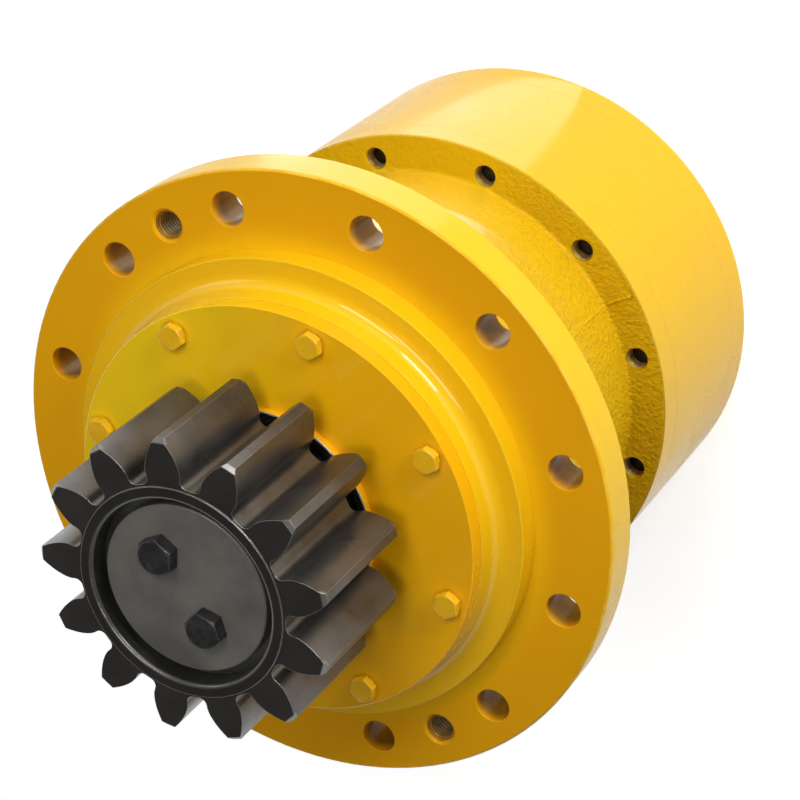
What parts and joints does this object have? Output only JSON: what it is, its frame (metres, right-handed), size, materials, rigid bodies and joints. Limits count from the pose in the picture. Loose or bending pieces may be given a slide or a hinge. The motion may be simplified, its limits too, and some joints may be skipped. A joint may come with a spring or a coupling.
{
  "type": "excavator swing gearbox",
  "caption": "Two-stage planetary swing gearbox with a round mounting flange, a splined output shaft on taper bearings and a spur pinion.",
  "frame": {"origin": "centre of the motor face, at the foot of the standing gearbox", "axes": "+Z along the shaft from the motor face to the pinion, +X through the centre of one mounting flange hole"},
  "size_m": [0.46, 0.46, 0.5348],
  "materials": {
    "case_paint": "glossy warm yellow paint over cast iron, rough where the casting is raw",
    "drum_paint": "glossy warm yellow paint on turned faces",
    "cover_paint": "yellow paint, a little greener and duller",
    "cover_bolt_paint": "yellow paint over hex heads, thin on the corners",
    "black_steel": "black oxide",
    "plug_steel": "yellow zinc plated steel",
    "pinion_steel": "case hardened, dark oxide with oil, edges bright",
    "plate_steel": "matt phosphated steel",
    "shaft_steel": "machined steel",
    "ground_steel": "ground and hardened",
    "bearing_steel": "ground bearing steel",
    "cage_steel": "pressed steel",
    "ring_steel": "spring steel, blued",
    "gear_steel": "ground gear steel",
    "carrier_iron": "machined ductile iron",
    "bronze": "bearing bronze",
    "rubber": "nitrile rubber"
  },
  "bodies": {
    "housing": {"case": "case_paint", "ring_gear": "drum_paint", "motor_cover": "drum_paint", "case_bolts": "black_steel", "dowel_pins": "ground_steel", "output_cover": "cover_paint", "cover_bolts": "cover_bolt_paint", "cover_o_ring": "rubber", "oil_seal": "rubber", "level_plug": "plug_steel", "drain_plug": "plug_steel", "upper_bearing_outer_ring": "bearing_steel", "lower_bearing_outer_ring": "bearing_steel"},
    "output": {"output_shaft": "shaft_steel", "pinion": "pinion_steel", "end_plate": "plate_steel", "end_plate_bolts": "black_steel", "spacer_sleeve": "ground_steel", "shaft_snap_ring": "ring_steel", "upper_bearing_inner_ring": "bearing_steel", "lower_bearing_inner_ring": "bearing_steel", "carrier_2": "carrier_iron", "planet_pins_2": "ground_steel", "thrust_washers_2": "bronze", "shaft_thrust_button": "ground_steel"},
    "upper_roller_set": {"upper_bearing_rollers": "bearing_steel", "upper_bearing_cage": "cage_steel"},
    "lower_roller_set": {"lower_bearing_rollers": "bearing_steel", "lower_bearing_cage": "cage_steel"},
    "carrier_set_1": {"carrier_1": "carrier_iron", "planet_pins_1": "ground_steel", "pin_snap_rings": "ring_steel", "thrust_washers_1": "bronze", "sun_gear_2": "gear_steel", "sun_thrust_button": "ground_steel"},
    "input_sun": {"sun_gear_1": "gear_steel"},
    "planet_set_2a": {"planet_2a": "gear_steel", "planet_bush_2a": "bronze"},
    "planet_set_2b": {"planet_2b": "gear_steel", "planet_bush_2b": "bronze"},
    "planet_set_2c": {"planet_2c": "gear_steel", "planet_bush_2c": "bronze"},
    "planet_set_1a": {"planet_1a": "gear_steel", "planet_bush_1a": "bronze"},
    "planet_set_1b": {"planet_1b": "gear_steel", "planet_bush_1b": "bronze"},
    "planet_set_1c": {"planet_1c": "gear_steel", "planet_bush_1c": "bronze"}
  },
  "joints": [
    {"name": "output_spin", "type": "hinge", "parent": "housing", "child": "output", "pos_m": [0, 0, 0.4], "axis": [0, 0, 1], "continuous": true},
    {"name": "planet_2a_spin", "type": "hinge", "parent": "output", "child": "planet_set_2a", "pos_m": [0.04875, 0.08444, 0.1215], "axis": [0, 0, 1], "continuous": true},
    {"name": "planet_2b_spin", "type": "hinge", "parent": "output", "child": "planet_set_2b", "pos_m": [-0.0975, 0, 0.1215], "axis": [0, 0, 1], "continuous": true},
    {"name": "planet_2c_spin", "type": "hinge", "parent": "output", "child": "planet_set_2c", "pos_m": [0.04875, -0.08444, 0.1215], "axis": [0, 0, 1], "continuous": true},
    {"name": "carrier_1_spin", "type": "hinge", "parent": "housing", "child": "carrier_set_1", "pos_m": [0, 0, 0.0785], "axis": [0, 0, 1], "continuous": true},
    {"name": "planet_1a_spin", "type": "hinge", "parent": "carrier_set_1", "child": "planet_set_1a", "pos_m": [0.0975, 0, 0.0545], "axis": [0, 0, 1], "continuous": true},
    {"name": "planet_1b_spin", "type": "hinge", "parent": "carrier_set_1", "child": "planet_set_1b", "pos_m": [-0.04875, 0.08444, 0.0545], "axis": [0, 0, 1], "continuous": true},
    {"name": "planet_1c_spin", "type": "hinge", "parent": "carrier_set_1", "child": "planet_set_1c", "pos_m": [-0.04875, -0.08444, 0.0545], "axis": [0, 0, 1], "continuous": true},
    {"name": "input_spin", "type": "hinge", "parent": "housing", "child": "input_sun", "pos_m": [0, 0, 0.04], "axis": [0, 0, 1], "continuous": true},
    {"name": "upper_rollers_orbit", "type": "hinge", "parent": "housing", "child": "upper_roller_set", "pos_m": [0, 0, 0.3517], "axis": [0, 0, 1], "continuous": true},
    {"name": "lower_rollers_orbit", "type": "hinge", "parent": "housing", "child": "lower_roller_set", "pos_m": [0, 0, 0.213], "axis": [0, 0, 1], "continuous": true}
  ],
  "couplings": [
    {"joint": "planet_2a_spin", "follows": "output_spin", "ratio": -2.8571},
    {"joint": "planet_2b_spin", "follows": "output_spin", "ratio": -2.8571},
    {"joint": "planet_2c_spin", "follows": "output_spin", "ratio": -2.8571},
    {"joint": "carrier_1_spin", "follows": "output_spin", "ratio": 4.3333},
    {"joint": "planet_1a_spin", "follows": "output_spin", "ratio": -12.381},
    {"joint": "planet_1b_spin", "follows": "output_spin", "ratio": -12.381},
    {"joint": "planet_1c_spin", "follows": "output_spin", "ratio": -12.381},
    {"joint": "input_spin", "follows": "output_spin", "ratio": 18.778},
    {"joint": "upper_rollers_orbit", "follows": "output_spin", "ratio": 0.40777},
    {"joint": "lower_rollers_orbit", "follows": "output_spin", "ratio": 0.43153}
  ]
}
